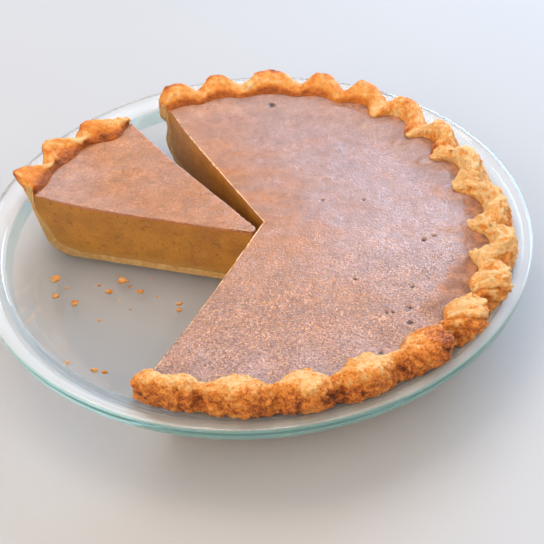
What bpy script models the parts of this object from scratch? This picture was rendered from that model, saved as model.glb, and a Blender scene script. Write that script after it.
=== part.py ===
"""A pumpkin pie in its clear glass dish, in metres, +Z up.

Two thirds of the pie is in place. One slice has been cut free, turned a little and left standing
in the gap. The origin is the middle of the dish's flat underside.
"""

import math
from collections import namedtuple

import bmesh
import bpy
from mathutils import Matrix, Vector

GAP = 0.0003  # kept between pieces that touch

# The dish: a flat floor, a rounded corner, a sloping wall and a wide flat rim.
RIM_RADIUS = 0.12065
RIM_HEIGHT = 0.032
RIM_DEPTH = 0.0056
RIM_FALL = 0.0017  # the rim's inner edge lies this much lower than its outer edge
FLANGE_RADIUS = 0.1102
GLASS = 0.005
FLOOR_RADIUS = 0.0875
CORNER = 0.014
WALL_SLOPE = math.radians(60)
DISH_STEPS = 64

# The crust: a thin floor and wall, and a pinched rim that stands over the flange.
CRUST_FLOOR = 0.0035
CRUST_WALL = 0.0048
CRUST_SHRINK = 0.0078  # how far the top of the baked wall has drawn in from the glass
FILL_SHRINK = 0.0047  # and how far the wall's inner side has
FOOT_RADIUS, FOOT_HEIGHT = 0.1072, 0.0315
FOOT_STEP = 0.0042  # the width of rim that lies on the flange
FOOT_BULGE = 0.0020  # the rim's outer side swells out above its foot
CREST_RADIUS, CREST_HEIGHT = 0.1045, 0.0432
CREST_WIDTH = 0.0072
SHOULDER_DROP = 0.0018  # how far the crest falls off to each side
SIT_OUT = Vector((0.0035, -0.0055))  # the pie's rim has baked off centre by this much
SIT_FROM, SIT_TO = 0.012, 0.031  # both come in between these heights
# And one stretch of it is drawn in over the filling: how far, at what angle and over what width.
Drawn = namedtuple("Drawn", "depth angle width")
PIE_DRAWN = Drawn(0.0080, math.radians(12), math.radians(33))
SLICE_DRAWN = Drawn(0.0065, math.radians(122.5), math.radians(5))

WALL_HEIGHTS = (0.027, 0.020)
CONTACT_HEIGHTS = (0.031, 0.023)

# The filling: level, and a little higher where it has climbed the crust.
FILL_HEIGHT = 0.0353
FILL_EDGE_RADIUS, FILL_EDGE_HEIGHT = 0.0975, 0.0386
FILL_FLAT_RADIUS = 0.056
FILL_CLIMB = 0.3  # the share of the climb made half way out to the edge
FILL_FLOOR_RADIUS = 0.084

# The lobes pinched into the rim, by angle in degrees: out, in, out, in and so on round it.
PIE_LOBES = (
    118, 111, 105.3, 98.5, 92.5, 83, 75, 68, 62, 55, 48.5, 41, 33, 26.5, 19.5, 13, 3.5, -5.5, -13.5,
    -19.5, -25.5, -32, -37.5, -43.5, -49, -55, -63, -69.5, -75.5, -81.5, -87, -94, -101, -109.5, -118,
)
SLICE_LOBES = (160, 155.5, 149.8, 144.8, 136.9, 131.8, 125.6, 116.5, 110)
PIE_NARROW, SLICE_NARROW = 1.5, 1.0  # above 1, lobes are broad and the notches between them narrow
LOBE_LIFT = 0.0017
LOBE_FROM, LOBE_TO = 0.028, 0.042
LOBE_INNER, LOBE_OUTER = 0.076, 0.094
LOBE_FADE = math.radians(22)  # they start and end in the part that is cut away
RIM_STEPS = 189

# In front, where the rim's inner edge swings against its crest, the lobes are beads. Along the
# side, where both swing together, they are a folded ribbon, and behind the inner edge is calmer.
BEADS_TO, RIBBON_FROM = math.radians(-38), math.radians(-22)
RIBBON_TO, CALM_FROM = math.radians(45), math.radians(65)
LEVEL_TO, SWUNG_FROM = math.radians(-72), math.radians(-58)
KNOB_TO, KNOB_FROM = math.radians(-110), math.radians(-103)  # the last bead is a small knob
BEAD_INNER, RIBBON_INNER, CALM_INNER = -0.85, 1.0, 0.25
LEVEL_CREST, KNOB_INNER = 0.35, 1.05
CALM_SIDE = 0.45  # along the side the rim's outer edge swings this much less than its crest
PIE_SWING, PIE_PINCH = 0.0036, 0.0026

# The cuts. The pie was cut from one point, and the slice stands turned and shifted.
CUT_POINT = Vector((0.0043, -0.0057))
# Each cut: its angle, and where and how much the rim has broken off aslant the knife's line.
Cut = namedtuple("Cut", "angle broken_from broken_turn")
CUT_BACK = Cut(math.radians(116.2), 0.104, math.radians(10))
CUT_SLICE = Cut(math.radians(153.1), 0.106, math.radians(-26))
CUT_FRONT = Cut(math.radians(243.2), 0.097, math.radians(-26))
SLICE_POINT = Vector((0.0039, -0.0140))
SLICE_TURN = math.radians(8.9)
SLICE_TIP_ROUND = 0.0022
SLICE_TIP_STEPS = 4
SLICE_SWING, SLICE_INNER = 0.0050, -0.2
SLICE_THIN = 0.0036  # its rim has a thin foot, so it stands out over the wall
THIN_FROM, THIN_TO, THIN_INNER = 0.034, 0.042, 0.101
SLICE_SIT = Vector((-0.0020, 0.0016))

# Their shared surface runs up in the crust's profile and down in the filling's.
CRUST_SPLIT, FILLING_SPLIT = "FIXED", "ALTERNATE"

CUTTER_REACH = 0.25
CUTTER_HEIGHT = 0.1

# How a rim is worked: its lobes, whether the first is a notch, and how far it is moved.
Rim = namedtuple("Rim", "lobes first narrow swing shares pinch sit drawn thin")

GLASS_COLOUR = (0.80, 0.93, 0.91)
CRUST_COLOUR = (0.68, 0.33, 0.10)
FILLING_COLOUR = (0.40, 0.17, 0.07)


def clear_scene():
    for obj in list(bpy.data.objects):
        bpy.data.objects.remove(obj, do_unlink=True)


def new_collection(name):
    collection = bpy.data.collections.new(name)
    bpy.context.scene.collection.children.link(collection)
    return collection


def principled(name, colour, roughness, transmission=0.0):
    material = bpy.data.materials.new(name)
    material.use_nodes = True
    shader = material.node_tree.nodes["Principled BSDF"]
    shader.inputs["Base Color"].default_value = (*colour, 1)
    shader.inputs["Roughness"].default_value = roughness
    shader.inputs["Metallic"].default_value = 0
    shader.inputs["Transmission Weight"].default_value = transmission
    return material


def smooth(value, low, high):
    """0 at low, 1 at high, and an even S curve between them."""
    t = min(1.0, max(0.0, (value - low) / (high - low)))
    return t * t * (3 - 2 * t)


def arc(centre, radius, start, end, steps):
    """Points on a round corner, with angles measured from straight down."""
    angles = [start + (end - start) * i / steps for i in range(steps + 1)]
    return [(centre[0] + radius * math.sin(a), centre[1] - radius * math.cos(a)) for a in angles]


def dish_corner(inset, start, end, steps):
    """The dish's rounded corner, moved inset into the bowl from its inner surface."""
    centre = (FLOOR_RADIUS, GLASS + CORNER)
    return arc(centre, CORNER - inset, start, end, steps)


def wall_radius(height, inset):
    """The radius of the dish's inner wall at a height, less inset square to the wall."""
    fall = RIM_HEIGHT - RIM_FALL - height
    return FLANGE_RADIUS - fall / math.tan(WALL_SLOPE) - inset / math.sin(WALL_SLOPE)


def dish_profile():
    under = RIM_HEIGHT - RIM_DEPTH
    edge = 0.0014
    inside = dish_corner(0, 0, WALL_SLOPE, 3)
    outside = dish_corner(-GLASS, WALL_SLOPE, 0, 3)
    rim = [
        (FLANGE_RADIUS, RIM_HEIGHT - RIM_FALL),
        (RIM_RADIUS - edge, RIM_HEIGHT),
        (RIM_RADIUS, RIM_HEIGHT - edge),
        (RIM_RADIUS, under + edge),
        (RIM_RADIUS - edge, under),
        (wall_radius(under, -GLASS), under),
    ]
    return [(0, GLASS), *inside, *rim, *outside, (0, 0)]


def wall_point(height, inset, shrink):
    """A point on the pie's side: the glass wall's, moved inward, and drawn in toward the top."""
    return wall_radius(height, inset) - shrink * smooth(height, SIT_FROM, SIT_TO), height


def contact_profile(inset):
    """Where crust and filling meet, from the rim down to the floor, moved inward by inset."""
    depth = GAP + CRUST_WALL + inset
    wall = [wall_point(height, depth, FILL_SHRINK) for height in CONTACT_HEIGHTS]
    corner = dish_corner(depth, WALL_SLOPE, 0, 2)
    floor = (FILL_FLOOR_RADIUS, GLASS + GAP + CRUST_FLOOR + inset)
    return [(FILL_EDGE_RADIUS - inset, FILL_EDGE_HEIGHT), *wall, *corner[:-1], floor]


def crust_profile():
    half = CREST_WIDTH / 2
    shoulder = CREST_HEIGHT - SHOULDER_DROP
    crest = [
        (CREST_RADIUS - half, shoulder),
        (CREST_RADIUS, CREST_HEIGHT),
        (CREST_RADIUS + half, shoulder),
        (FOOT_RADIUS + FOOT_BULGE, (FOOT_HEIGHT + shoulder) / 2),
        (FOOT_RADIUS, FOOT_HEIGHT),
        (FOOT_RADIUS - FOOT_STEP, FOOT_HEIGHT),
    ]
    wall = [wall_point(height, GAP, CRUST_SHRINK) for height in WALL_HEIGHTS]
    corner = dish_corner(GAP, WALL_SLOPE, 0, 3)
    inside = list(reversed(contact_profile(0)))
    return [(0, inside[0][1]), *inside, *crest, *wall, *corner, (0, GLASS + GAP)]


def filling_profile():
    edge, *side = contact_profile(GAP)
    climb = FILL_HEIGHT + FILL_CLIMB * (edge[1] - FILL_HEIGHT)
    middle = ((FILL_FLAT_RADIUS + edge[0]) / 2, climb)
    return [(0, FILL_HEIGHT), (FILL_FLAT_RADIUS, FILL_HEIGHT), middle, edge, *side, (0, side[-1][1])]


def lobe_wave(angle, rim):
    """1 at the middle of each lobe, and -1 at the bottom of each notch between them."""
    degrees = min(rim.lobes[0], max(rim.lobes[-1], math.degrees(angle)))
    number = max(i for i, lobe in enumerate(rim.lobes[:-1]) if lobe >= degrees)
    near, far = rim.lobes[number], rim.lobes[number + 1]
    halves = rim.first + number + (near - degrees) / (near - far)
    notch = 0.5 - 0.5 * math.cos(math.pi * halves)
    return 1 - 2 * notch**rim.narrow


def pie_shares(angle):
    """The shares of the swing that the rim's inner edge and its crest take."""
    inner = BEAD_INNER + (RIBBON_INNER - BEAD_INNER) * smooth(angle, BEADS_TO, RIBBON_FROM)
    inner -= (RIBBON_INNER - CALM_INNER) * smooth(angle, RIBBON_TO, CALM_FROM)
    inner += (KNOB_INNER - BEAD_INNER) * (1 - smooth(angle, KNOB_TO, KNOB_FROM))
    return inner, LEVEL_CREST + (1 - LEVEL_CREST) * smooth(angle, LEVEL_TO, SWUNG_FROM)


def slice_shares(angle):
    return SLICE_INNER, 1


def worked_point(x, y, z, rim):
    """Where a point of the plain turned pie goes when its rim is worked and has baked off centre."""
    radius = math.hypot(x, y)
    if radius < LOBE_INNER:
        return x, y, z
    angle = math.atan2(y, x)
    about = math.atan2(y + rim.sit.y, x + rim.sit.x)
    wave = lobe_wave(about, rim)
    inner, crest = rim.shares(about)
    share = inner + (crest - inner) * smooth(radius, FILL_EDGE_RADIUS, CREST_RADIUS)
    outer = smooth(radius, LOBE_INNER, LOBE_OUTER)
    fade = smooth(math.pi - abs(angle), 0, LOBE_FADE)
    strength = smooth(z, LOBE_FROM, LOBE_TO) * outer * fade
    inward = smooth(CREST_RADIUS - radius, 0, CREST_RADIUS - FILL_EDGE_RADIUS)
    pinch = rim.pinch * max(0, inner) * inward * smooth(-wave, -0.3, 1)
    drawn = rim.drawn.depth * math.exp(-(((about - rim.drawn.angle) / rim.drawn.width) ** 2))
    foot = smooth(radius, CREST_RADIUS, FOOT_RADIUS)
    share *= 1 - CALM_SIDE * foot * smooth(about, BEADS_TO, RIBBON_FROM)
    thin = rim.thin * smooth(radius, THIN_INNER, FOOT_RADIUS) * (1 - smooth(z, THIN_FROM, THIN_TO))
    moved = radius + strength * (rim.swing * share * wave - pinch - drawn)
    moved -= thin * (z > SIT_TO)
    sit = rim.sit * smooth(z, SIT_FROM, SIT_TO) * outer
    lift = LOBE_LIFT * fade * wave * smooth(z, FILL_EDGE_HEIGHT, CREST_HEIGHT)
    return moved * math.cos(angle) + sit.x, moved * math.sin(angle) + sit.y, z + lift


def turned(name, profile, steps, material, collection):
    """A solid of revolution, from a profile that runs down its outer side."""
    mesh = bpy.data.meshes.new(name)
    edges = [(i, i + 1) for i in range(len(profile) - 1)]
    mesh.from_pydata([(r, 0, z) for r, z in profile], edges, [])
    mesh.materials.append(material)
    obj = bpy.data.objects.new(name, mesh)
    collection.objects.link(obj)
    screw = obj.modifiers.new("turn", "SCREW")
    screw.axis = "Z"
    screw.angle = 2 * math.pi
    screw.steps = screw.render_steps = steps
    screw.use_merge_vertices = True
    screw.merge_threshold = 0.00001
    return obj


def split_quads(mesh, method):
    """Splits the quads one way, so that two pieces that meet bend along the same lines."""
    work = bmesh.new()
    work.from_mesh(mesh)
    bmesh.ops.triangulate(work, faces=work.faces, quad_method=method)
    work.to_mesh(mesh)
    work.free()


def worked(name, profile, rim, split, material, collection):
    """A turned solid whose rim is then worked."""
    plain = turned(name, profile, RIM_STEPS, material, collection)
    graph = bpy.context.evaluated_depsgraph_get()
    mesh = bpy.data.meshes.new_from_object(plain.evaluated_get(graph))
    bpy.data.objects.remove(plain, do_unlink=True)
    mesh.name = name
    split_quads(mesh, split)
    for vertex in mesh.vertices:
        vertex.co = worked_point(*vertex.co, rim)
    mesh.shade_smooth()
    mesh.set_sharp_from_angle(angle=math.radians(50))
    obj = bpy.data.objects.new(name, mesh)
    collection.objects.link(obj)
    return obj


def direction(angle):
    return Vector((math.cos(angle), math.sin(angle)))


def wedge(name, outline, collection):
    """An upright prism with this outline, used only to cut."""
    curve = bpy.data.curves.new(name, "CURVE")
    curve.dimensions = "2D"
    curve.fill_mode = "BOTH"
    curve.extrude = CUTTER_HEIGHT
    spline = curve.splines.new("POLY")
    spline.points.add(len(outline) - 1)
    for point, place in zip(spline.points, outline, strict=True):
        point.co = (place.x, place.y, 0, 1)
    spline.use_cyclic_u = True
    flat = bpy.data.objects.new(name, curve)
    collection.objects.link(flat)
    graph = bpy.context.evaluated_depsgraph_get()
    mesh = bpy.data.meshes.new_from_object(flat.evaluated_get(graph))
    bpy.data.objects.remove(flat, do_unlink=True)
    weld(mesh)
    obj = bpy.data.objects.new(name, mesh)
    collection.objects.link(obj)
    obj.hide_render = True
    obj.display_type = "WIRE"
    return obj


def weld(mesh):
    work = bmesh.new()
    work.from_mesh(mesh)
    bmesh.ops.remove_doubles(work, verts=work.verts, dist=0.00001)
    bmesh.ops.recalc_face_normals(work, faces=work.faces)
    work.to_mesh(mesh)
    work.free()


def cut_line(point, cut):
    """Where the rim's break starts along a cut, and a far point on past it."""
    bend = point + direction(cut.angle) * cut.broken_from
    return bend, bend + direction(cut.angle + cut.broken_turn) * CUTTER_REACH


def sector(point, start, end):
    """The wedge between two cuts that meet at a point."""
    first, first_end = cut_line(point, start)
    last, last_end = cut_line(point, end)
    far = CUTTER_REACH / math.cos((end.angle - start.angle) / 2)
    corner = point + direction((start.angle + end.angle) / 2) * far
    return [point, first, first_end, corner, last_end, last]


def blunt_sector(point, start, end):
    """The same wedge with its point rounded off."""
    middle, half = (start.angle + end.angle) / 2, (end.angle - start.angle) / 2
    centre = point + direction(middle) * (SLICE_TIP_ROUND / math.sin(half))
    first, last = end.angle + math.pi / 2, start.angle + 3 * math.pi / 2
    turns = [first + (last - first) * i / SLICE_TIP_STEPS for i in range(SLICE_TIP_STEPS + 1)]
    nose = [centre + direction(a) * SLICE_TIP_ROUND for a in turns]
    return [*nose, *sector(point, start, end)[1:]]


def carve(obj, cutter, operation):
    boolean = obj.modifiers.new("cut", "BOOLEAN")
    boolean.operation = operation
    boolean.object = cutter
    boolean.solver = "EXACT"


def make_dish(parts):
    glass = principled("clear_glass", GLASS_COLOUR, 0.03, transmission=1.0)
    dish = turned("pie_dish", dish_profile(), DISH_STEPS, glass, parts)
    dish.data.shade_smooth()
    return dish


def make_pie(parts, cutters, crust_material, filling_material):
    rim = Rim(PIE_LOBES, 1, PIE_NARROW, PIE_SWING, pie_shares, PIE_PINCH, SIT_OUT, PIE_DRAWN, 0)
    gap = wedge("gap_cutter", sector(CUT_POINT, CUT_BACK, CUT_FRONT), cutters)
    crust = worked("pie_crust", crust_profile(), rim, CRUST_SPLIT, crust_material, parts)
    filling = worked("pie_filling", filling_profile(), rim, FILLING_SPLIT, filling_material, parts)
    for piece in (crust, filling):
        carve(piece, gap, "DIFFERENCE")


def make_slice(parts, cutters, crust_material, filling_material):
    place = bpy.data.objects.new("slice_place", None)
    parts.objects.link(place)
    shape = (SLICE_LOBES, 0, SLICE_NARROW, SLICE_SWING, slice_shares)
    rim = Rim(*shape, 0, SLICE_SIT, SLICE_DRAWN, SLICE_THIN)
    knife = wedge("slice_cutter", blunt_sector(CUT_POINT, CUT_BACK, CUT_SLICE), cutters)
    crust = worked("slice_crust", crust_profile(), rim, CRUST_SPLIT, crust_material, parts)
    filling = worked("slice_filling", filling_profile(), rim, FILLING_SPLIT, filling_material, parts)
    for piece in (crust, filling):
        carve(piece, knife, "INTERSECT")
    for piece in (crust, filling, knife):
        piece.parent = place
    turned_point = CUT_POINT.copy()
    turned_point.rotate(Matrix.Rotation(SLICE_TURN, 2))
    shift = SLICE_POINT - turned_point
    place.rotation_euler.z = SLICE_TURN
    place.location = (shift.x, shift.y, 0)


def main():
    clear_scene()
    parts = new_collection("pumpkin_pie")
    cutters = new_collection("cutters")
    crust_material = principled("baked_crust", CRUST_COLOUR, 0.75)
    filling_material = principled("pumpkin_filling", FILLING_COLOUR, 0.6)
    make_dish(parts)
    make_pie(parts, cutters, crust_material, filling_material)
    make_slice(parts, cutters, crust_material, filling_material)


main()
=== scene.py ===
"""The looks of a part-eaten pumpkin pie in its clear glass dish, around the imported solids."""

import math
from collections import namedtuple

import bmesh
import bpy
import numpy as np
from mathutils import Matrix, Vector, noise


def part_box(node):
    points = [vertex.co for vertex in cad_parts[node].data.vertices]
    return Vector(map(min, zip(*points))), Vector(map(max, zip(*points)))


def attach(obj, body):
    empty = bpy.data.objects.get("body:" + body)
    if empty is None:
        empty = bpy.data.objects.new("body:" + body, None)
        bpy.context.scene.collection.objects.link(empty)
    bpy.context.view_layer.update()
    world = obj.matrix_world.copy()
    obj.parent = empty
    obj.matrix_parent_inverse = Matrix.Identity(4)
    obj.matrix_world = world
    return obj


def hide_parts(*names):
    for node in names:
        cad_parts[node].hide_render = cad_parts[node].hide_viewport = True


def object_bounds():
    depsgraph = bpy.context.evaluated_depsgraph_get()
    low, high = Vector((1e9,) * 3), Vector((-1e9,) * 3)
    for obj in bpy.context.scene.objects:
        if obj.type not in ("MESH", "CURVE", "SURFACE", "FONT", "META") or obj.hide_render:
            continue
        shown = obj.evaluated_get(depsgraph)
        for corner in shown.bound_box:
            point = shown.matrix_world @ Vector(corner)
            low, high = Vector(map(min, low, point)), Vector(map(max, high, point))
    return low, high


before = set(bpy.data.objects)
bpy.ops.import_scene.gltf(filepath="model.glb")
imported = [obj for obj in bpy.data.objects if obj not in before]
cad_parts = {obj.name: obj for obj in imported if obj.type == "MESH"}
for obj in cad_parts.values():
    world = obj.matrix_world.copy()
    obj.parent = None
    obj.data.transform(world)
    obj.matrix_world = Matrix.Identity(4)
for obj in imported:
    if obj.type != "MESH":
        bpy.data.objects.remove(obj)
CAD_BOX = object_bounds()
BODY = "root"

# The dish, as in the solids.
RIM_RADIUS, RIM_HEIGHT = 0.12065, 0.032
RIM_DEPTH, RIM_FALL = 0.0056, 0.0017
FLANGE_RADIUS, GLASS = 0.1102, 0.005
RIM_EDGE = 0.0014
FLOOR_RADIUS, CORNER = 0.0875, 0.014
WALL_SLOPE = math.radians(60)

# The crust and the filling, as in the solids.
CRUST_FLOOR, CRUST_WALL = 0.0035, 0.0048
CRUST_SHRINK, FILL_SHRINK = 0.0078, 0.0047
FOOT_RADIUS, FOOT_HEIGHT, FOOT_STEP = 0.1072, 0.0315, 0.0042
CREST_RADIUS, CREST_HEIGHT = 0.1045, 0.0432
RIM_TOP, TOP_LUMP = CAD_BOX[1].z - CAD_BOX[0].z, 0.0010  # lumps rise at most this far above the rim's top
SIT_OUT, SIT_FROM, SIT_TO = Vector((0.0035, -0.0055)), 0.012, 0.031
WALL_BITE, FLANGE_BITE = 0.00005, 0.0001  # how far the crust just enters the glass
FILL_HEIGHT, FILL_EDGE_RADIUS, FILL_EDGE_HEIGHT = 0.0353, 0.0975, 0.0386
FILL_FLAT_RADIUS, FILL_FLOOR_RADIUS, FILL_CLIMB = 0.056, 0.084, 0.3

# The lobes worked round the rim, as in the solids. Angles in degrees go out, in, out, in and so on.
PIE_LOBES = (
    118, 111, 105.3, 98.5, 92.5, 83, 75, 68, 62, 55, 48.5, 41, 33, 26.5, 19.5, 13, 3.5, -5.5, -13.5,
    -19.5, -25.5, -32, -37.5, -43.5, -49, -55, -63, -69.5, -75.5, -81.5, -87, -94, -101, -109.5, -118,
)
SLICE_LOBES = (160, 155.5, 149.8, 144.8, 136.9, 131.8, 125.6, 116.5, 110)
LOBE_LIFT = 0.0017
LOBE_FROM, LOBE_TO, LOBE_INNER, LOBE_OUTER = 0.028, 0.042, 0.076, 0.094
CALM_RADIUS, CALMED = 0.1090, 0.45  # outside the crest, the side's lobes swing less, by this share
THIN_FROM, THIN_TO, THIN_BELOW, THIN_ABOVE = 0.1010, 0.1065, 0.034, 0.042
FACE_RADIUS, FACE_WIDTH, FACE_CLIMB = 0.1000, 0.0022, 0.002
LEAN_FROM, LEAN_TO, LEAN_RADIUS, DROOP_TO = 0.040, 0.0450, 0.1, 0.040
BEAD_BELOW, RIBBON_ABOVE = math.radians(-38), math.radians(-22)
RIBBON_BELOW, BACK_ABOVE = math.radians(45), math.radians(65)
FRONT_BELOW, FRONT_ABOVE = math.radians(-72), math.radians(-58)
KNOB_BELOW, KNOB_ABOVE = math.radians(-110), math.radians(-103)

# Stretches of the pie's rim, by the degrees between which each one starts or ends.
FRONT_ENDS, CRACKS_END = (-48, -36), (-40, -30)
CRUMBLY_STARTS, CRUMBLY_ENDS = (-48, -25), (12, 38)
BACK_STARTS = (40, 75)

# The cuts, as in the solids.
Cut = namedtuple("Cut", "angle broken_from broken_turn")
CUT_POINT = Vector((0.0043, -0.0057))
CUT_BACK = Cut(math.radians(116.2), 0.104, math.radians(10))
CUT_SLICE = Cut(math.radians(153.1), 0.106, math.radians(-26))
CUT_FRONT = Cut(math.radians(243.2 - 360), 0.097, math.radians(-26))
SLICE_POINT, SLICE_TURN, SLICE_TIP_ROUND = Vector((0.0039, -0.0140)), math.radians(8.9), 0.0022
SLICE_SIT = Vector((-0.0020, 0.0016))
BREAK_WIDTH = math.radians(7)

# How fine each piece is.
RAY_STEP = 0.0006
RIM_STEP = 0.00055
TOP_STEP = 0.00085
CUT_ROWS = 34
DISH_STEPS = 240
CORNER_STEPS = 16

Rim = namedtuple("Rim", "lobes first narrow swing weights pinch sit drawn hollow lean thin")
# Where a rim is drawn in over the filling: how far, at what angle, over what width, and how far it sags.
Drawn = namedtuple("Drawn", "depth angle width sag")
Piece = namedtuple("Piece", "start end rim nose")


def smooth(value, low, high):
    t = np.clip((value - low) / (high - low), 0.0, 1.0)
    return t * t * (3 - 2 * t)


# ---------------------------------------------------------------- sections

def arc(centre, radius, start, end, steps):
    """Points on a round corner, with angles measured from straight down."""
    angles = [start + (end - start) * i / steps for i in range(steps + 1)]
    return [(centre[0] + radius * math.sin(a), centre[1] - radius * math.cos(a)) for a in angles]


def dish_corner(inset, start, end, steps):
    return arc((FLOOR_RADIUS, GLASS + CORNER), CORNER - inset, start, end, steps)


def wall_radius(height, inset):
    fall = RIM_HEIGHT - RIM_FALL - height
    return FLANGE_RADIUS - fall / math.tan(WALL_SLOPE) - inset / math.sin(WALL_SLOPE)


def wall_point(height, inset, shrink):
    return wall_radius(height, inset) - shrink * float(smooth(height, SIT_FROM, SIT_TO)), height


def flange_height(radius):
    """The height of the glass under the pie's rim, on the flange and on the wall just inside it."""
    low = RIM_HEIGHT - RIM_FALL
    wall = low - (FLANGE_RADIUS - radius) * math.tan(WALL_SLOPE)
    flat = low + RIM_FALL * np.clip((radius - FLANGE_RADIUS) / (RIM_RADIUS - RIM_EDGE - FLANGE_RADIUS), 0, 1)
    return np.where(radius < FLANGE_RADIUS, np.maximum(wall, low - 0.0004), flat)


def evenly(points, step):
    """The same open line with its points a step apart."""
    points = np.array(points)
    along = np.concatenate([[0], np.cumsum(np.hypot(*np.diff(points, axis=0).T))])
    count = max(2, int(round(along[-1] / step)) + 1)
    places = np.linspace(0, along[-1], count)
    return np.column_stack([np.interp(places, along, points[:, k]) for k in (0, 1)])


def rounded(points, step, passes=3):
    """A smooth open curve that follows a few corner points."""
    line = np.array(points)
    for _ in range(passes):
        near = 0.75 * line[:-1] + 0.25 * line[1:]
        far = 0.25 * line[:-1] + 0.75 * line[1:]
        middle = np.column_stack([near, far]).reshape(-1, 2)
        line = np.vstack([line[:1], middle, line[-1:]])
    return evenly(line, step)


def contact_line(step):
    """Where crust and filling meet, from the floor up to the filling's edge."""
    depth = CRUST_WALL
    corner = dish_corner(depth, 0, WALL_SLOPE, 8)
    wall = [wall_point(h, depth, FILL_SHRINK) for h in (0.018, 0.023, 0.027, 0.031)]
    edge = (FILL_EDGE_RADIUS, FILL_EDGE_HEIGHT)
    return rounded([(FILL_FLOOR_RADIUS, GLASS + CRUST_FLOOR), *corner[1:], *wall, edge], step, 2)


def rim_line(step):
    """The open part of the rim, from the filling's edge over the crest to the foot."""
    low = FOOT_HEIGHT
    return rounded([
        (FILL_EDGE_RADIUS, FILL_EDGE_HEIGHT), (0.0986, 0.0410), (0.1006, CREST_HEIGHT),
        (CREST_RADIUS, CREST_HEIGHT + 0.0013), (0.1078, CREST_HEIGHT + 0.0002), (0.1093, 0.0400),
        (0.1095, 0.0360), (0.1086, low + 0.0006), (0.1062, low - 0.0002), (FOOT_RADIUS - FOOT_STEP, low),
    ], step)


def outer_line(step):
    """The crust's side and underside, from the foot in to the middle. It just enters the glass."""
    touch = -WALL_BITE
    wall = [wall_point(h, touch, CRUST_SHRINK) for h in (0.027, 0.023, 0.020, 0.016)]
    corner = dish_corner(touch, WALL_SLOPE, 0, CORNER_STEPS)
    side = evenly([(FOOT_RADIUS - FOOT_STEP, FOOT_HEIGHT), *wall, corner[0]], step)
    floor = [(r, GLASS + touch) for r in np.linspace(FLOOR_RADIUS, 0, 12)[1:]]
    return np.vstack([side, corner[1:], floor])


# ---------------------------------------------------------------- the worked rim

def pie_weights(angle):
    """How much the inner edge and the crest swing: beads in front, a ribbon at the side, calmer behind."""
    inner = -0.85 + 1.85 * smooth(angle, BEAD_BELOW, RIBBON_ABOVE)
    inner = inner - 0.75 * smooth(angle, RIBBON_BELOW, BACK_ABOVE)
    crest = 0.35 + 0.65 * smooth(angle, FRONT_BELOW, FRONT_ABOVE)
    return inner + 1.9 * (1 - smooth(angle, KNOB_BELOW, KNOB_ABOVE)), crest


def slice_weights(angle):
    return -0.2 + 0 * angle, 1


PIE_DRAWN = Drawn(0.0080, math.radians(12), math.radians(33), 0)
SLICE_DRAWN = Drawn(0.0065, math.radians(122.5), math.radians(5), 0.0005)
PIE_RIM = Rim(
    lobes=PIE_LOBES, first=1, narrow=1.5, swing=0.0036, weights=pie_weights, pinch=0.0026, sit=SIT_OUT,
    drawn=PIE_DRAWN, hollow=0.0008, lean=0.0013, thin=0)
SLICE_RIM = Rim(
    lobes=SLICE_LOBES, first=0, narrow=1.0, swing=0.0050, weights=slice_weights, pinch=0.0, sit=SLICE_SIT,
    drawn=SLICE_DRAWN, hollow=0.0018, lean=0.0026, thin=0.0036)
PIE = Piece(CUT_FRONT, CUT_BACK, PIE_RIM, 0)
SLICE = Piece(CUT_BACK, CUT_SLICE, SLICE_RIM, SLICE_TIP_ROUND)


def lobe_wave(angle, rim):
    """1 at the middle of each lobe and -1 at each notch, with broad lobes and narrow notches."""
    halves = np.interp(-angle, [-math.radians(a) for a in rim.lobes], np.arange(len(rim.lobes)) + rim.first)
    plain = 0.5 - 0.5 * np.cos(math.pi * halves)
    return 1 - 2 * plain ** rim.narrow


def ray_reach(piece, angle, radius):
    """How far out along a ray from the cut point a circle of the pie lies."""
    toward = CUT_POINT.x * np.cos(angle) + CUT_POINT.y * np.sin(angle)
    near = 0.02  # closer in than this, points are spaced by their share of the way out
    circle = np.maximum(radius, near)
    reach = -toward + np.sqrt(toward ** 2 - CUT_POINT.length_squared + circle ** 2)
    reach = reach * np.minimum(radius / near, 1)
    if not piece.nose:
        return reach
    return np.maximum(nose_reach(piece, angle), reach)


def nose_reach(piece, angle):
    """Where each ray leaves the rounded point of a slice."""
    half = (piece.end.angle - piece.start.angle) / 2
    middle = piece.start.angle + half
    centre = piece.nose / math.sin(half)
    off = centre * np.sin(angle - middle)
    return centre * np.cos(angle - middle) - np.sqrt(np.maximum(piece.nose ** 2 - off ** 2, 0))


def break_shift(piece, angle, reach):
    """How far a point near a cut's outer end moves sideways, where the rim has broken off aslant."""
    shift = 0
    for cut in (piece.start, piece.end):
        near = np.exp(-(((angle - cut.angle) / BREAK_WIDTH) ** 2))
        shift = shift + near * math.tan(cut.broken_turn) * np.maximum(reach - cut.broken_from, 0)
    return shift


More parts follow.
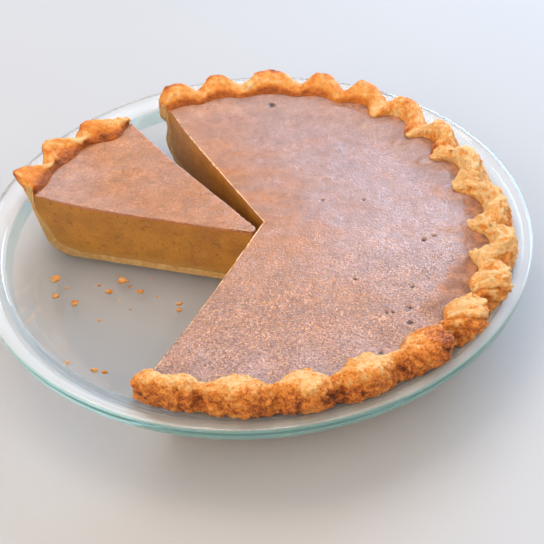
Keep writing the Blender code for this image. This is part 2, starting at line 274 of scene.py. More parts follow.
def place(piece, angle, radius, z):
    """Puts section points on rays from the cut point, with the rim worked. Returns x, y, z, wave."""
    rim = piece.rim
    reach = ray_reach(piece, angle, radius)
    along, across = (np.cos(angle), np.sin(angle)), (-np.sin(angle), np.cos(angle))
    shift = break_shift(piece, angle, reach)
    x = CUT_POINT.x + reach * along[0] + shift * across[0]
    y = CUT_POINT.y + reach * along[1] + shift * across[1]
    about = np.arctan2(y, x)
    wave = lobe_wave(about, rim)
    inner, crest = rim.weights(about)
    weight = inner + (crest - inner) * smooth(radius, FILL_EDGE_RADIUS, CREST_RADIUS)
    outer = smooth(radius, LOBE_INNER, LOBE_OUTER)
    strength = smooth(z, LOBE_FROM, LOBE_TO) * outer
    inward = smooth(CREST_RADIUS - radius, 0, CREST_RADIUS - FILL_EDGE_RADIUS)
    pinch = rim.pinch * np.maximum(inner, 0) * inward * smooth(-wave, -0.3, 1)
    near = np.exp(-(((about - rim.drawn.angle) / rim.drawn.width) ** 2))
    outside = smooth(radius, CREST_RADIUS, CALM_RADIUS)
    calm = 1 - CALMED * outside * smooth(about, BEAD_BELOW, RIBBON_ABOVE)
    low = (1 - smooth(z, THIN_BELOW, THIN_ABOVE)) * (z > SIT_TO)
    thin = rim.thin * smooth(radius, THIN_FROM, THIN_TO) * low
    sit = (rim.sit.x * along[0] + rim.sit.y * along[1]) * smooth(z, SIT_FROM, SIT_TO) * outer
    move = strength * (rim.swing * weight * wave * calm - pinch - rim.drawn.depth * near) + sit - thin
    lift = (LOBE_LIFT * wave - rim.drawn.sag * near) * smooth(z, FILL_EDGE_HEIGHT, CREST_HEIGHT)
    face = np.exp(-((radius - FACE_RADIUS) / FACE_WIDTH) ** 2)
    face = face * smooth(z, FILL_EDGE_HEIGHT, FILL_EDGE_HEIGHT + FACE_CLIMB)
    hollow = rim.hollow * face * smooth(wave, -0.4, 0.8)
    lean = rim.lean * smooth(z, LEAN_FROM, LEAN_TO) * smooth(radius, LEAN_RADIUS, CREST_RADIUS) * wave
    x = x + move * along[0] + lean * across[0]
    y = y + move * along[1] + lean * across[1]
    height = z + lift - hollow
    rest = flange_height(np.hypot(x, y)) - FLANGE_BITE
    drooped = height + (rest - FOOT_HEIGHT) * (1 - smooth(z, FOOT_HEIGHT, DROOP_TO))
    foot = radius > FOOT_RADIUS - FOOT_STEP - FLANGE_BITE
    return x, y, np.where(foot, np.maximum(drooped, rest), height), wave


# ---------------------------------------------------------------- meshes

class Shape:
    """Gathers grids of points into one mesh, with values kept on its points."""

    def __init__(self):
        self.points, self.faces, self.values = [], [], {}
        self.count = 0

    def grid(self, x, y, z, **values):
        rows, columns = x.shape
        self.points.append(np.column_stack([x.ravel(), y.ravel(), z.ravel()]))
        index = self.count + np.arange(rows * columns).reshape(rows, columns)
        quads = np.stack([index[:-1, :-1], index[1:, :-1], index[1:, 1:], index[:-1, 1:]], -1).reshape(-1, 4)
        self.faces.append(quads)
        for name in set(self.values) | set(values):
            given = values.get(name, np.zeros(rows * columns))
            done = self.values.setdefault(name, [np.zeros(self.count)] if self.count else [])
            done.append(np.broadcast_to(given, x.shape).ravel() if np.ndim(given) == 2 else np.ravel(given))
        self.count += rows * columns

    def mesh(self, name):
        """Welds the grids and returns a closed mesh."""
        mesh = bpy.data.meshes.new(name)
        mesh.from_pydata(np.vstack(self.points), [], np.vstack(self.faces).tolist())
        for key, parts in self.values.items():
            layer = mesh.attributes.new(key, "FLOAT", "POINT")
            layer.data.foreach_set("value", np.concatenate(parts).astype(np.float32))
        work = bmesh.new()
        work.from_mesh(mesh)
        bmesh.ops.remove_doubles(work, verts=work.verts, dist=0.000002)
        bmesh.ops.dissolve_degenerate(work, edges=work.edges, dist=0.000001)
        bmesh.ops.recalc_face_normals(work, faces=work.faces)
        work.to_mesh(mesh)
        work.free()
        return mesh


def rough(mesh, amount):
    """Moves each point along its normal by amount(points, values) metres."""
    count = len(mesh.vertices)
    points, normals = np.empty(count * 3), np.empty(count * 3)
    mesh.vertices.foreach_get("co", points)
    mesh.vertices.foreach_get("normal", normals)
    points, normals = points.reshape(-1, 3), normals.reshape(-1, 3)
    values = {}
    for layer in mesh.attributes:
        if layer.domain == "POINT" and layer.data_type == "FLOAT":
            values[layer.name] = np.empty(count)
            layer.data.foreach_get("value", values[layer.name])
    points = points + normals * amount(points, values)[:, None]
    mesh.vertices.foreach_set("co", points.ravel())
    mesh.update()


def cloud(points, size, octaves=3, seed=0.0):
    """Soft noise of a given grain, about -1 to 1."""
    scale, shift = 1 / size, seed * 17.3
    return np.array([noise.fractal((x * scale + shift, y * scale - shift, z * scale), 1.0, 2.0, octaves)
                     for x, y, z in points])


def new_object(name, mesh, *materials):
    obj = bpy.data.objects.new(name, mesh)
    bpy.context.scene.collection.objects.link(obj)
    for material in materials:
        mesh.materials.append(material)
    mesh.shade_smooth()
    return obj


def rays(piece, step):
    count = int((piece.end.angle - piece.start.angle) * CREST_RADIUS / step) + 1
    return np.linspace(piece.start.angle, piece.end.angle, count)


# ---------------------------------------------------------------- the crust

RIM_CORE = (0.1040, 0.0382)
END_ROUND = math.radians(2.2)
CAP_RINGS = 5


def end_round(piece, angle, radius, z):
    """Rounds off the ends of the rim by drawing its section in toward its core."""
    ends = np.minimum(angle - piece.start.angle, piece.end.angle - angle)
    x = 1 - np.clip(ends / END_ROUND, 0, 1)
    pull = (1 - np.sqrt(1 - 0.75 * x ** 2)) * smooth(z, 0.031, 0.039)
    return radius + (RIM_CORE[0] - radius) * pull, z + (RIM_CORE[1] - z) * pull


def rings_to_core(line, rings):
    """The rim's section as rings drawn in toward its core."""
    share = np.linspace(0, 1, rings + 1)[:, None, None]
    return np.array(line)[None] * (1 - share) + np.array(RIM_CORE)[None, None] * share


def resampled(line, count):
    along = np.concatenate([[0], np.cumsum(np.hypot(*np.diff(line, axis=0).T))])
    places = np.linspace(0, along[-1], count)
    return np.column_stack([np.interp(places, along, line[:, k]) for k in (0, 1)])


def build_crust(name, piece):
    inside = np.vstack([[(0, GLASS + CRUST_FLOOR)], contact_line(0.002)])
    rim, outer = rim_line(RIM_STEP), outer_line(0.002)
    section = np.vstack([inside, rim[1:], outer[1:]])
    first, last = len(inside) - 1, len(inside) + len(rim) - 2
    across = np.zeros(len(section))
    across[first:last + 1] = np.linspace(0, 1, len(rim))
    across[last:] = 1
    open_part = np.zeros(len(section))
    open_part[first + 1:last + 1] = 1
    angle, radius = np.meshgrid(rays(piece, RAY_STEP), section[:, 0], indexing="ij")
    z = np.broadcast_to(section[:, 1], angle.shape)
    r, h = end_round(piece, angle, radius, z)
    x, y, height, wave = place(piece, angle, r, h)
    shape = Shape()
    shape.grid(x, y, height, wave=wave, open=np.broadcast_to(open_part, x.shape),
               across=np.broadcast_to(across, x.shape))
    count, rows = 120, 7
    strip_in, strip_out = resampled(inside, count), resampled(outer[::-1], count)
    mix = np.linspace(0, 1, rows)[:, None]
    root = np.vstack([rim, rim[-1] + (rim[0] - rim[-1]) * np.linspace(0, 1, 16)[1:, None]])
    rings = rings_to_core(root, CAP_RINGS)
    for cut in (piece.start, piece.end):
        r = strip_in[:, 0] * (1 - mix) + strip_out[:, 0] * mix
        z = strip_in[:, 1] * (1 - mix) + strip_out[:, 1] * mix
        cap_grid(shape, piece, cut, r, z)
        cap_grid(shape, piece, cut, rings[:, :, 0], rings[:, :, 1])
    return shape.mesh(name)


def cap_grid(shape, piece, cut, radius, z):
    """One part of the crust's section, laid on a cut. Its inner points are free to be roughened."""
    angle = np.full(radius.shape, cut.angle)
    r, h = end_round(piece, angle, radius, z)
    x, y, height, wave = place(piece, angle, r, h)
    free = np.zeros(radius.shape)
    free[1:-1, 1:-1] = 0.6
    shape.grid(x, y, height, wave=wave, open=0 * free, across=0 * free, cut=free)


def polar(points):
    return np.arctan2(points[:, 1], points[:, 0]), np.hypot(points[:, 0], points[:, 1])


def crumbliness(degrees):
    """The pie's side has baked into crumbly flakes. The rest of the rim is smoother."""
    return smooth(degrees, *CRUMBLY_STARTS) * (1 - smooth(degrees, *CRUMBLY_ENDS))


def flaking(points):
    return np.clip(cloud(points, 0.0024, 3, 13) + 0.15, -0.25, 1)


# Pleats pressed into the rim: angle in degrees, depth in millimetres, and degrees of slant from the
# rim's inner edge to its foot.
PLEATS = (
    (-109.4, 1.0, 0), (-105.2, 1.1, 0), (-102.3, 1.2, 0), (-96.8, 1.1, 0), (-91.8, 0.6, 0), (-90.0, 0.8, 0),
    (-83.5, 0.8, 2), (-78.0, 1.1, 4), (-72.6, 0.9, 4), (-66.0, 1.0, 6), (-60.5, 0.8, 10),
    (-55.5, 1.2, 16), (-50.0, 1.1, 18), (-45.5, 1.5, 20), (-41.0, 1.1, 20), (-36.5, 1.5, 20),
    (-31.0, 1.2, 18), (-25.5, 0.9, 14),
)
PLEAT_WIDTH = 0.55  # in degrees

# The depth of each kind of relief in metres: everywhere, and what is added in front and at the side.
Relief = namedtuple("Relief", "plain front crumbly")
LUMPS, BLISTERS = Relief(0.0007, 0.0004, 0), Relief(0.0008, 0.0005, 0)
FLAKES, PLATES = Relief(0.0005, 0, 0.0006), Relief(0, 0, 0.0008)
CRUMB, CREASES = Relief(0.00022, 0.00022, 0.00022), Relief(0.0010, 0.0007, 0)
BLISTER_BASE, CRACK_DEPTH, LAYER_DEPTH = 0.00025, 0.0006, 0.00045


def pleated(points, across):
    """How deep each point lies in a pleat, in metres. Each pleat wanders a little down the rim's side."""
    degrees = np.degrees(polar(points)[0]) + 1.1 * cloud(points, 0.007, 2, 24)
    deep = 0 * degrees
    for at, depth, slant in PLEATS:
        away = degrees - at - slant * (across - 0.42)
        start = 0.22 - 0.008 * slant
        shown = smooth(across, start, start + 0.18) * (1 - smooth(across, 0.80, 0.92))
        deep = np.maximum(deep, 0.001 * depth * shown * np.exp(-(away / PLEAT_WIDTH) ** 2))
    return deep


def crust_relief(points, values):
    """Lumps, blisters and crumb on the open part of the crust, and flaky layers at the cuts."""
    angle, _ = polar(points)
    degrees, across = np.degrees(angle), values["across"]
    front, crumbly = 1 - smooth(degrees, *FRONT_ENDS), crumbliness(degrees)

    def deep(relief):
        return relief.plain + relief.front * front + relief.crumbly * crumbly

    lumps = deep(LUMPS) * cloud(points, 0.011, 2, 1)
    blisters = deep(BLISTERS) * np.abs(cloud(points, 0.0055, 2, 2)) - BLISTER_BASE
    flakes = deep(FLAKES) * flaking(points)
    plates = deep(PLATES) * (smooth(cloud(points, 0.0042, 2, 31), -0.08, 0.06) - 0.5)
    crumb = deep(CRUMB) * cloud(points, 0.0011, 2, 3)
    presses = np.column_stack([angle * CREST_RADIUS, 0 * angle, 0.12 * points[:, 2]])
    cracks = CRACK_DEPTH * (1 - smooth(np.abs(cloud(presses, 0.0030, 2, 21)), 0.0, 0.10))
    cracks = cracks * smooth(across, 0.3, 0.5) * (1 - smooth(degrees, *CRACKS_END))
    creases = deep(CREASES) * smooth(-values["wave"], 0.72, 1.0) * smooth(across, 0.25, 0.6)
    calmed = 1 - 0.55 * smooth(across, 0.62, 0.85)
    open_part = (lumps - creases - cracks + blisters + flakes + plates + crumb) * calmed
    edge = values["open"] * smooth(across, 0.0, 0.1)
    layers = LAYER_DEPTH * cloud(points * (1, 1, 3.5), 0.003, 3, 4)
    return edge * (open_part - pleated(points, across)) + values.get("cut", 0 * angle) * layers


def settle(mesh):
    """Keeps the highest lumps close above the rim's own height."""
    for vert in mesh.vertices:
        above = vert.co.z - RIM_TOP
        if above > 0:
            vert.co.z = RIM_TOP + TOP_LUMP * math.tanh(above / TOP_LUMP)
    mesh.update()


def keep(mesh, name, values):
    layer = mesh.attributes.get(name) or mesh.attributes.new(name, "FLOAT", "POINT")
    layer.data.foreach_set("value", np.asarray(values, np.float32))


def mesh_points(mesh):
    points = np.empty(len(mesh.vertices) * 3)
    mesh.vertices.foreach_get("co", points)
    return points.reshape(-1, 3)


def mesh_values(mesh, name):
    values = np.empty(len(mesh.vertices))
    mesh.attributes[name].data.foreach_get("value", values)
    return values


# Browned patches on the rim: angle in degrees, place across the rim, angular size, amount.
PATCHES = (
    (-102.3, 0.62, 1.7, 0.10), (-113.0, 0.40, 1.6, 0.06), (-88.0, 0.66, 3.2, 0.18), (-76.0, 0.62, 3.0, 0.18),
    (-62.5, 0.70, 2.6, 0.14), (-53.4, 0.30, 3.2, 0.42), (-56.0, 0.66, 2.6, 0.22), (-37.5, 0.62, 1.4, 0.14),
    (-30.0, 0.30, 1.6, 0.16), (27.0, 0.42, 1.6, 0.16), (41.0, 0.45, 1.6, 0.20), (60.0, 0.30, 3.0, 0.14),
    (82.5, 0.45, 0.9, 0.30), (20.5, 0.06, 1.2, 0.75), (33.3, 0.08, 1.2, 0.75), (112.0, 0.40, 2.5, 0.15),
)
# The most that the pie's rim is browned and shaded away from a patch and on one, and the slice's rim
# anywhere.
EVEN_BROWN, MOST_BROWN, SERVED_BROWN = 0.66, 0.86, 0.84
PATCH_ACROSS, TIP_STARTS = 0.22, (-42, -30)


def served_browning_and_shade(level, wave, across):
    """The slice's rim is brown on its shoulder and pale at its notches, with browning and painted shade on
    its inner face.
    """
    # Painted shade, with some browning, on the inner face below the ridge.
    inner_face = 1 - smooth(across, 0.08, 0.22)
    shoulder = np.exp(-((across - 0.46) / 0.10) ** 2)
    ridge = np.exp(-((across - 0.30) / 0.08) ** 2)
    level = level + 0.10 + 0.34 * inner_face - 0.10 * ridge + 0.30 * shoulder * smooth(wave, 0.0, 0.9)
    level = level - 0.22 * smooth(-wave, -0.2, 0.8) * smooth(across, 0.12, 0.25)
    return np.clip(level, 0, SERVED_BROWN)


def browning_and_shade(points, wave, across, served):
    """How dark each point of the rim is, from 0 for pale to 1 for charred: its browning, darker towards its
    foot, with painted shade in notches and pleats, down the front and on the inner face behind, and a painted
    highlight along its top.
    """
    degrees = np.degrees(polar(points)[0])
    crumbly = 0 if served else crumbliness(degrees)
    level = 0.28 - 0.12 * crumbly + 0.15 * cloud(points, 0.010, 3, 5)
    pale_flakes = 0.10 + 0.22 * crumbly * (1 - 0.75 * smooth(across, 0.42, 0.60))
    level = level + 0.12 * cloud(points, 0.0028, 3, 6) - pale_flakes * flaking(points)
    if served:
        return served_browning_and_shade(level, wave, across)
    back, front = smooth(degrees, *BACK_STARTS), 1 - smooth(degrees, *FRONT_ENDS)
    top = smooth(points[:, 2], 0.0395, 0.0445)
    # Painted shade darkens the notches' creases, less near the top; the rim also darkens towards its foot.
    notch_shade = smooth(-wave, 0.3, 1.0) * smooth(across, 0.3, 0.5) * (1 - 0.6 * top)
    level = level + 0.12 * notch_shade * (1 - 0.8 * front) + 0.10 * smooth(across, 0.72, 0.95)
    # The front's outer face darkens downward, browning and painted shade together; the top is paler, pale
    # pastry with a painted highlight.
    level = level + front * (0.26 * smooth(across, 0.22, 0.52) - 0.08)
    level = level + 0.08 * crumbly * smooth(across, 0.45, 0.62) - 0.10 * top * (1 - back)
    # Painted shade darkens the pleats.
    level = level + (110 - 35 * front) * pleated(points, across)
    # Behind, painted shade darkens the inner face beside the filling; the lobes' crowns are browned.
    crown = np.exp(-((across - 0.34) / 0.07) ** 2) * smooth(wave, -0.1, 0.8)
    level = level + back * (0.42 * (1 - smooth(across, 0.05, 0.17)) - 0.07 + 0.32 * crown)
    level = np.minimum(level, EVEN_BROWN)
    for at, place_across, size, amount in PATCHES:
        gap = (degrees - at) / size
        level = level + amount * np.exp(-gap ** 2 - ((across - place_across) / PATCH_ACROSS) ** 2)
    pale_tips = smooth(-wave, 0.5, 1) * (1 - smooth(across, 0.15, 0.35))
    pale_tips = pale_tips * smooth(degrees, *TIP_STARTS) * (1 - back)
    return np.clip(level - 0.35 * pale_tips, 0, MOST_BROWN)


def make_crust(name, piece, node, material):
    mesh = build_crust(name, piece)
    points = mesh_points(mesh)
    wave, across, open_part, cut = (mesh_values(mesh, key) for key in ("wave", "across", "open", "cut"))
    shown = (open_part > 0) | ((points[:, 2] > FILL_EDGE_HEIGHT - 0.0015) & (cut == 0))
    baked_and_shaded = browning_and_shade(points, wave, across, piece is SLICE)
    keep(mesh, "bake_and_shade", np.where(shown, baked_and_shaded, 0.20 + 0.30 * cloud(points, 0.006, 3, 15)))
    keep(mesh, "dough", 1.0 - shown)
    degrees = np.degrees(polar(points)[0])
    speckle = 0.42 + 0.70 * smooth(-degrees, -60, -35) + 0.25 * (1 - smooth(degrees, *FRONT_ENDS))
    keep(mesh, "speckle", speckle if piece is PIE else 0 * speckle + 0.6)
    rough(mesh, crust_relief)
    settle(mesh)
    obj = new_object(name, mesh, material)
    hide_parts(node)
    return obj


# ---------------------------------------------------------------- the filling

def top_line(count):
    """The filling's top from the middle out to its edge."""
    edge = (FILL_EDGE_RADIUS, FILL_EDGE_HEIGHT)
    middle = ((FILL_FLAT_RADIUS + edge[0]) / 2, FILL_HEIGHT + FILL_CLIMB * (edge[1] - FILL_HEIGHT))
    line = rounded([(0, FILL_HEIGHT), (FILL_FLAT_RADIUS, FILL_HEIGHT), middle, edge], 0.0005)
    places = np.linspace(0, 1, count)
    source = line[:, 0] / line[-1, 0]
    return np.column_stack([np.interp(places, source, line[:, k]) for k in (0, 1)])


def under_line(count):
    """The filling's underside and side from the middle out to the same edge."""
    contact = contact_line(0.0005)
    line = np.vstack([[(0, contact[0][1])], contact])
    split = FILL_FLOOR_RADIUS / FILL_EDGE_RADIUS * 0.93
    along = np.concatenate([[0], np.cumsum(np.hypot(*np.diff(line, axis=0).T))])
    places = np.linspace(0, 1, count)
    reach = np.where(places < split, places / split * along[1],
                     along[1] + (places - split) / (1 - split) * (along[-1] - along[1]))
    return np.column_stack([np.interp(reach, along, line[:, k]) for k in (0, 1)])


# Small holes and bubbles in the filling's top: x, y, radius and depth in millimetres.
MARKS = (
    (71, -26, 1.0, 0.9), (75.6, -24, 0.8, 0.8), (50, -69, 0.8, 0.8), (52.5, -69.5, 0.7, 0.7),
    (59, -67, 1.0, 0.8), (62, -55, 0.9, 0.7), (40, -47, 0.8, 0.6), (45, -91.5, 1.0, 0.8),
    (31, 7, 0.8, 0.6), (49, 5, 0.8, 0.6), (11.7, 83.6, 1.6, 0.5), (58, -76, 1.4, 0.7),
)
LIP = 0.0010  # the width of the top's edge along a cut, sunk a little and lit by a painted highlight

# The top is rusty, and darkened by painted shade, in a ring beside the crust, most from these degrees on. A
# painted sheen makes it cooler in colour away from its warm left and middle. Its front is grainy.
RUST_AND_SHADE_STARTS, RUST_AND_SHADE_RING = (-58, -30), (0.087, 0.097)
SHEEN_BACK, SHEEN_LEFT = (0.030, 0.075), (0.030, 0.066)
GRAINY_FRONT, GRAINY_RIGHT = (-0.004, 0.070), (0.030, 0.080)


def build_filling(name, piece):
    count = int(FILL_EDGE_RADIUS / TOP_STEP)
    top, under = top_line(count), under_line(count)
    angles = rays(piece, RAY_STEP * 1.35)
    angle, radius = np.meshgrid(angles, top[:, 0], indexing="ij")
    x, y, h, _ = place(piece, angle, radius, np.broadcast_to(top[:, 1], angle.shape))
    angle, low = np.meshgrid(angles, under[:, 0], indexing="ij")
    bx, by, bh, _ = place(piece, angle, low, np.broadcast_to(under[:, 1], angle.shape))
    free = np.ones(x.shape)
    free[:, -1] = 0
    ends = np.minimum(angles - angles[0], angles[-1] - angles)[:, None]
    from_cut = np.hypot(x - CUT_POINT.x, y - CUT_POINT.y) * np.sin(np.minimum(ends, 1.0))
    lip = (1 - smooth(from_cut, 0.0, LIP)) * (0.4 if piece.nose else 1.0)
    shape = Shape()
    shape.grid(x, y, h, top=free, near=smooth(radius, 0.075, FILL_EDGE_RADIUS), skin=1 + 0 * x, lip=lip)
    coarse = np.unique(np.concatenate([np.arange(0, count, 5), [count - 1]]))
    nothing = 0 * bx[:, coarse]
    shape.grid(bx[:, coarse], by[:, coarse], bh[:, coarse], top=nothing, near=nothing, skin=nothing)
    rows = np.linspace(0, 1, CUT_ROWS)[:, None]
    faces = [(x[end], y[end], h[end], bx[end], by[end], bh[end]) for end in (0, -1)]
    if piece.nose:
        faces.append((x[:, 0], y[:, 0], h[:, 0], bx[:, 0], by[:, 0], bh[:, 0]))
    for tx, ty, tz, ux, uy, uz in faces:
        face = [t[None] * (1 - rows) + u[None] * rows for t, u in ((tx, ux), (ty, uy), (tz, uz))]
        free = np.zeros(face[0].shape)
        free[1:-1, :-1] = 1
        shape.grid(*face, top=0 * free, near=0 * free, skin=0 * free + smooth(0.05 - rows, 0, 0.03),
                   crisp=0 * free + smooth(0.10 - rows, 0, 0.05),
                   low=0 * free + smooth(rows, 0.86, 0.97), cut=free)
    return shape.mesh(name)


def filling_relief(points, values):
    """A faintly uneven top with wrinkles beside the crust and small holes, and an uneven cut."""
    angle, radius = polar(points)
    swell = 0.00022 * cloud(points, 0.016, 2, 7) + 0.00008 * cloud(points, 0.004, 2, 8)
    rings = np.column_stack([radius, angle * radius * 0.22, 0 * radius])
    wrinkles = 0.00085 * cloud(rings, 0.0024, 3, 9) * smooth(values["near"], 0.15, 0.7)
    top = swell + wrinkles
    for x, y, size, depth in MARKS:
        away = np.hypot(points[:, 0] * 1000 - x, points[:, 1] * 1000 - y)
        swollen = 0.00012 * np.exp(-((away - 1.7 * size) / 0.6) ** 2)
        top = top - depth / 1000 * np.exp(-(away / size) ** 4) + swollen
    cut = 0.00022 * cloud(points, 0.005, 3, 10) - 0.0002 * smooth(cloud(points, 0.0016, 2, 11), 0.35, 0.7)
    top = top - 0.00035 * values["lip"]
    return values["top"] * top + values.get("cut", 0 * radius) * cut


def make_filling(name, piece, node, material):
    mesh = build_filling(name, piece)
    points = mesh_points(mesh)
    mark = np.zeros(len(points))
    for x, y, size, _ in MARKS:
        away = np.hypot(points[:, 0] * 1000 - x, points[:, 1] * 1000 - y)
        mark = np.maximum(mark, np.exp(-(away / size) ** 4))
    keep(mesh, "mark", mark * mesh_values(mesh, "skin") * (piece is PIE))
    angle, radius = polar(points)
    x, y, pie = points[:, 0], points[:, 1], piece is PIE
    # The ring beside the crust is rusty skin with painted shade from the crust's inner wall.
    side = smooth(np.degrees(angle), *RUST_AND_SHADE_STARTS) if pie else 0.1
    depth = smooth(radius + 0.004 * cloud(points, 0.009, 2, 14), *RUST_AND_SHADE_RING)
    # A painted sheen of cool window light: on the pie's right and back, on the slice's left, and in streaks.
    toward = np.maximum(x + 0.6 * y + 0.02, -1.3 * y - 0.07)
    left = 0 if pie else 0.65 * smooth(-x - 0.35 * y, *SHEEN_LEFT)
    sheen_streaks = 0.34 * cloud(points * (1, 2.2, 1), 0.022, 3, 16)
    painted_sheen = np.maximum(smooth(toward, 0.0, 0.085), 0.42 * smooth(y, *SHEEN_BACK)) * pie
    keep(mesh, "painted_sheen", np.clip(painted_sheen + left + sheen_streaks, 0, 1.2))
    keep(mesh, "near", depth * (0.25 + 0.75 * side) * mesh_values(mesh, "skin"))
    grainy = 0.30 + 1.05 * smooth(-y, *GRAINY_FRONT) + 0.15 * smooth(x, *GRAINY_RIGHT)
    keep(mesh, "grainy", grainy if pie else 0.55 + 2.0 * np.clip(0.03 - np.abs(y), 0, 0.1))
    rough(mesh, filling_relief)
    obj = new_object(name, mesh, material)
    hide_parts(node)
    return obj


# ---------------------------------------------------------------- the dish

def dish_section():
    """The glass dish's section, from the middle of the floor over the rim and back below."""
    under, edge = RIM_HEIGHT - RIM_DEPTH, RIM_EDGE
    rim = rounded([
        (FLANGE_RADIUS - 0.004, RIM_HEIGHT - RIM_FALL - 0.007),
        (FLANGE_RADIUS, RIM_HEIGHT - RIM_FALL),
        (FLANGE_RADIUS + 0.0022, RIM_HEIGHT - RIM_FALL + 0.0003),
        (RIM_RADIUS - 0.0042, RIM_HEIGHT - 0.0006),
        (RIM_RADIUS - 0.0030, RIM_HEIGHT),
        (RIM_RADIUS - 0.0002, RIM_HEIGHT),
        (RIM_RADIUS, RIM_HEIGHT - edge),
        (RIM_RADIUS, under + edge),
        (RIM_RADIUS - edge, under),
        (wall_radius(under, -GLASS) + 0.001, under),
        (wall_radius(under - 0.006, -GLASS), under - 0.006),
    ], 0.0005, 4)
    inside = dish_corner(0, 0, WALL_SLOPE, CORNER_STEPS)
    outside = dish_corner(-GLASS, WALL_SLOPE, 0, CORNER_STEPS)
    return np.vstack([[(0, GLASS)], [(0.03, GLASS)], inside, rim, outside, [(0.03, 0)], [(0, 0)]])


def make_dish(bowl, flange):
    section = dish_section()
    angle, radius = np.meshgrid(np.linspace(0, 2 * np.pi, DISH_STEPS + 1), section[:, 0], indexing="ij")
    height = np.broadcast_to(section[:, 1], radius.shape)
    rim = 0.9 * smooth(radius, RIM_RADIUS - 0.0016, RIM_RADIUS - 0.0001)
    bend = 0.5 * np.exp(-((radius - FLANGE_RADIUS) / 0.0008) ** 2) * (height > RIM_HEIGHT - 0.004)
    edges = np.maximum(rim, bend) * (0.20 + 0.80 * smooth(-np.sin(angle), 0.2, 0.8))
    shape = Shape()
    shape.grid(radius * np.cos(angle), radius * np.sin(angle), height, thick=edges)
    mesh = shape.mesh("glass_dish")
    obj = new_object("glass_dish", mesh, bowl, flange)
    for face in mesh.polygons:
        face.material_index = int(math.hypot(face.center.x, face.center.y) > FLANGE_RADIUS - 0.0006)
    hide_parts("pie_dish")
    return obj


# ---------------------------------------------------------------- crumbs

# Crumbs left in the dish: x, y, height of the glass there, and size, in millimetres.
CRUMBS = (
    (-91.4, -4.4, 7.8, 2.2), (-90.1, -15.9, 7.8, 1.5), (-61.3, -5.2, 5, 2.2), (-67.1, -12, 5, 1.8),
    (-53.1, -13.3, 5, 1.6), (-35.3, -22.8, 5, 1.3), (-35.2, -26.7, 5, 1.2), (-81.8, -18.6, 5.6, 1.5),
    (-113.7, -22.1, 31.2, 1.2), (-67.9, -66.7, 12, 1.6), (-63.7, -68.2, 12, 1.3), (-77.8, -67, 18, 0.9),
    (-58, -9, 5, 0.7), (-64, -1, 5, 0.6), (-72, -7, 5, 0.7), (-86, -9, 6.4, 0.8), (-45, -17, 5, 0.7),
    (-57, -24, 5, 0.6), (-70, -30, 5, 0.8), (-49, -5, 5, 0.5), (-62, -17, 5, 0.5),
)


def crumb_mesh(work, centre, size, seed):
    made = bmesh.ops.create_icosphere(work, subdivisions=3, radius=1)
    shift = Vector((seed * 3.7, seed * 1.3, 0))
    squash = Vector((1.0, 0.75 + 0.2 * math.sin(seed), 0.45))
    for vert in made["verts"]:
        bump = 1 + 0.45 * noise.fractal(vert.co * 1.3 + shift, 1.0, 2.0, 3)
        flat = Vector((vert.co.x * squash.x, vert.co.y * squash.y, vert.co.z * squash.z))
        vert.co = flat * bump * size + centre


def make_crumbs(material):
    work = bmesh.new()
    for number, (x, y, z, size) in enumerate(CRUMBS):
        centre = Vector((x, y, z + 0.35 * size)) / 1000
        crumb_mesh(work, centre, size / 1000, number + 1)
    mesh = bpy.data.meshes.new("dish_crumbs")
    work.to_mesh(mesh)
    work.free()
    points = mesh_points(mesh)
    keep(mesh, "bake_and_shade", 0.24 + 0.22 * cloud(points, 0.003, 2, 12))
    keep(mesh, "speckle", np.ones(len(points)))
    obj = new_object("dish_crumbs", mesh, material)
    return obj


# ---------------------------------------------------------------- materials

class Nodes:
    """Short words for building a material."""

    def __init__(self, name):
        self.material = bpy.data.materials.new(name)
        self.material.use_nodes = True
        self.tree = self.material.node_tree
        self.shader = self.tree.nodes["Principled BSDF"]
        coordinates = self.tree.nodes.new("ShaderNodeTexCoord")
        self.place = coordinates.outputs["Object"]

    def add(self, kind, inputs=(), **settings):
        node = self.tree.nodes.new(kind)
        for key, value in settings.items():
            setattr(node, key, value)
        for socket, value in dict(inputs).items():
            self.put(node.inputs[socket], value)
        return node

    def put(self, socket, value):
        if isinstance(value, bpy.types.NodeSocket):
            self.tree.links.new(value, socket)
        else:
            socket.default_value = value

    def set(self, socket, value):
        self.put(self.shader.inputs[socket], value)

    def noise(self, size, detail=3.0, roughness=0.55, stretch=None):
        place_in = self.place
        if stretch:
            place_in = self.add("ShaderNodeMapping", {"Vector": self.place, "Scale": stretch}).outputs[0]
        node = self.add("ShaderNodeTexNoise", {"Vector": place_in, "Scale": 1 / size, "Detail": detail,
                                               "Roughness": roughness})
        return node.outputs["Fac"]

    def cells(self, size):
        node = self.add("ShaderNodeTexVoronoi", {"Vector": self.place, "Scale": 1 / size})
        return node.outputs["Distance"]

    def attribute(self, name):
        return self.add("ShaderNodeAttribute", attribute_name=name).outputs["Fac"]

    def math(self, operation, a, b=0.5):
        node = self.add("ShaderNodeMath", operation=operation)
        self.put(node.inputs[0], a)
        self.put(node.inputs[1], b)
        return node.outputs[0]

    def ramp(self, value, *stops):
        node = self.add("ShaderNodeValToRGB", {"Fac": value})
        steps = node.color_ramp.elements
        while len(steps) < len(stops):
            steps.new(0.5)
        for step, (at, colour) in zip(steps, stops):
            step.position = at
            step.color = (*colour, 1) if isinstance(colour, tuple) else (colour, colour, colour, 1)
        return node.outputs["Color"]

    def mix(self, share, a, b, blend="MIX"):
        node = self.add("ShaderNodeMix", data_type="RGBA", blend_type=blend)
        self.put(node.inputs["Factor"], share)
        self.put(node.inputs["A"], (*a, 1) if isinstance(a, tuple) else a)
        self.put(node.inputs["B"], (*b, 1) if isinstance(b, tuple) else b)
        return node.outputs["Result"]

    def bump(self, height, distance, strength=1.0, normal=None):
        node = self.add("ShaderNodeBump", {"Height": height, "Distance": distance, "Strength": strength})
        if normal:
            self.put(node.inputs["Normal"], normal)
        return node.outputs["Normal"]


